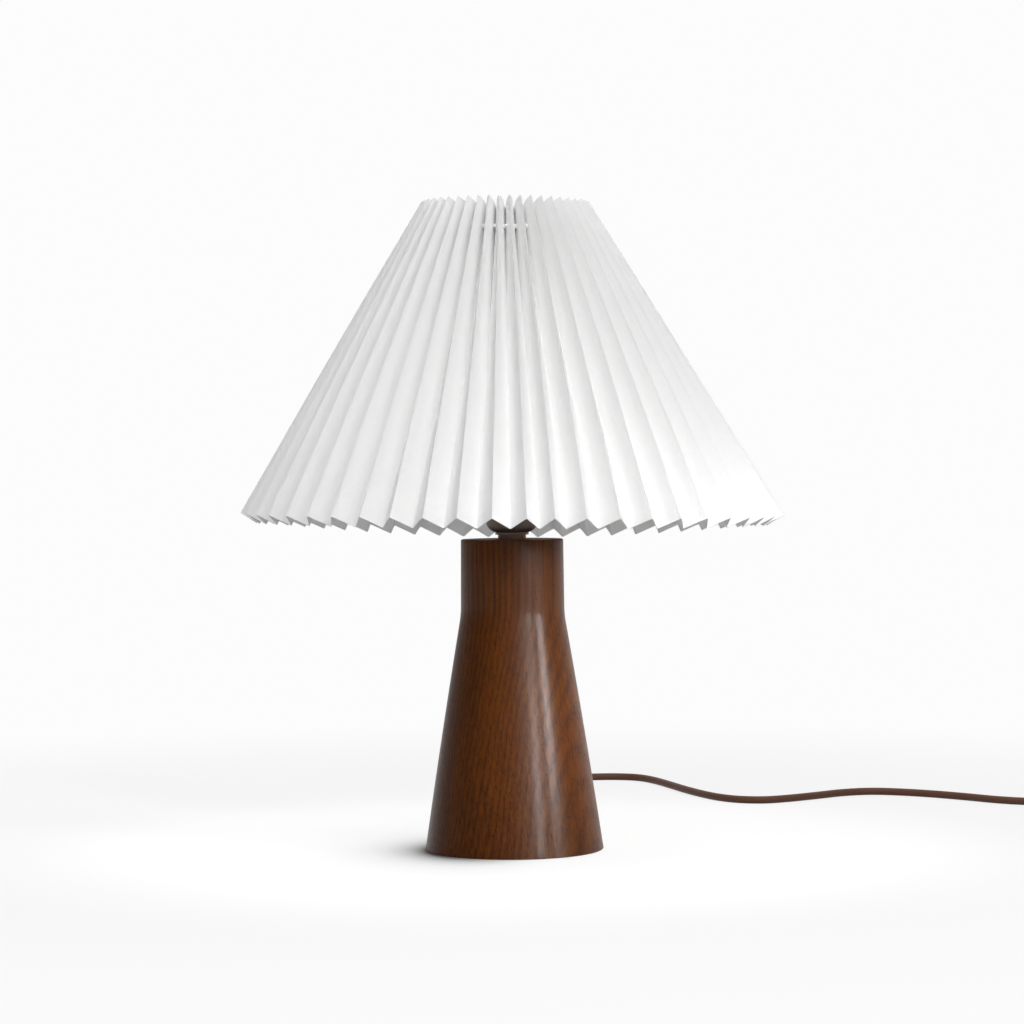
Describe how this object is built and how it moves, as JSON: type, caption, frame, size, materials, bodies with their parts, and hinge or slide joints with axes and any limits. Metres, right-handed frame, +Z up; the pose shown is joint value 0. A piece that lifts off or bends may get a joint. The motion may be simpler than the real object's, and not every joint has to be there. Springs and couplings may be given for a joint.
{
  "type": "table lamp",
  "caption": "Table lamp with a turned dark wooden cone base, a bronze lampholder, a white pleated cone shade that lifts off its carrier, and a mains cord with a switch and plug.",
  "frame": {"origin": "centre of the foot's felt, on the table", "axes": "+Z up through the lampholder and the bulb, -Y the front that the picture shows, +X to its right, where the cord runs"},
  "size_m": [0.8242, 0.7818, 0.5407],
  "materials": {
    "wood": "dark walnut-stained ash, open pores, satin lacquer",
    "felt": "dark brown felt",
    "fibreboard": "plain fibreboard",
    "steel": "zinc plated",
    "iron": "raw casting",
    "brass": "plain",
    "bronze": "dark bronze plating, satin",
    "ceramic": "glazed ceramic",
    "opal_glass": "opal, satin",
    "nickel": "nickel plated",
    "black_glass": "black glass",
    "white_steel": "white powder coat",
    "pleated_sheet": "white textile laminated on a stiff sheet, pleated",
    "white_thread": "white braided cord",
    "brown_plastic": "dark brown, satin",
    "ivory_plastic": "ivory",
    "cord_sheath": "smooth brown sheath, satin",
    "core": "blue insulation",
    "rocker_plastic": "darker brown, glossy",
    "tie_plastic": "dark grey",
    "black_plastic": "black, satin"
  },
  "bodies": {
    "lamp": {"wood_base": "wood", "felt_pad": "felt", "base_plate": "fibreboard", "plate_screws": "steel", "base_weight": "iron", "threaded_tube": "brass", "tube_washer": "steel", "tube_nut": "steel", "neck_nut": "bronze", "cup_washer": "bronze", "cup_nut": "steel", "holder_cup": "bronze", "holder_insert": "ceramic", "terminal_screws": "brass", "centre_contact": "brass", "socket_thread": "brass", "holder_shell": "bronze", "shade_ring": "bronze", "cord_bush": "brown_plastic", "cord_clamp": "ivory_plastic", "clamp_screws": "steel", "inner_lead": "cord_sheath", "lead_cores": "core", "cord_lead": "cord_sheath", "switch_base": "brown_plastic", "switch_cover": "brown_plastic", "switch_screws": "steel", "cord_run": "cord_sheath", "cord_coil": "cord_sheath", "coil_tie": "tie_plastic", "plug_body": "brown_plastic", "plug_pins": "nickel", "pin_sleeves": "black_plastic"},
    "carrier": {"carrier_fitter": "white_steel", "carrier_legs": "white_steel", "carrier_ring": "white_steel"},
    "shade": {"pleated_shade": "pleated_sheet", "gathering_cord": "white_thread"},
    "bulb_carriage": {"bulb_contact": "nickel"},
    "bulb": {"bulb_globe": "opal_glass", "bulb_cap": "nickel", "bulb_insulator": "black_glass"},
    "rocker": {"switch_rocker": "rocker_plastic"}
  },
  "joints": [
    {"name": "carrier_turn", "type": "hinge", "parent": "lamp", "child": "carrier", "pos_m": [0, 0, 0.301], "axis": [0, 0, 1], "continuous": true},
    {"name": "shade_lift", "type": "slide", "parent": "carrier", "child": "shade", "axis": [0, 0, 1], "range_m": [0, 0.3]},
    {"name": "bulb_rise", "type": "slide", "parent": "lamp", "child": "bulb_carriage", "axis": [0, 0, 1], "range_m": [0, 0.0182]},
    {"name": "bulb_turn", "type": "hinge", "parent": "bulb_carriage", "child": "bulb", "pos_m": [0, 0, 0.31], "axis": [0, 0, 1], "range_deg": [0, 1800]},
    {"name": "rocker_tilt", "type": "hinge", "parent": "lamp", "child": "rocker", "pos_m": [0, 0.332, 0.014], "axis": [1, 0, 0], "range_deg": [0, 16]}
  ],
  "couplings": [
    {"joint": "bulb_rise", "follows": "bulb_turn", "m_per_rad": 0.00057753}
  ]
}
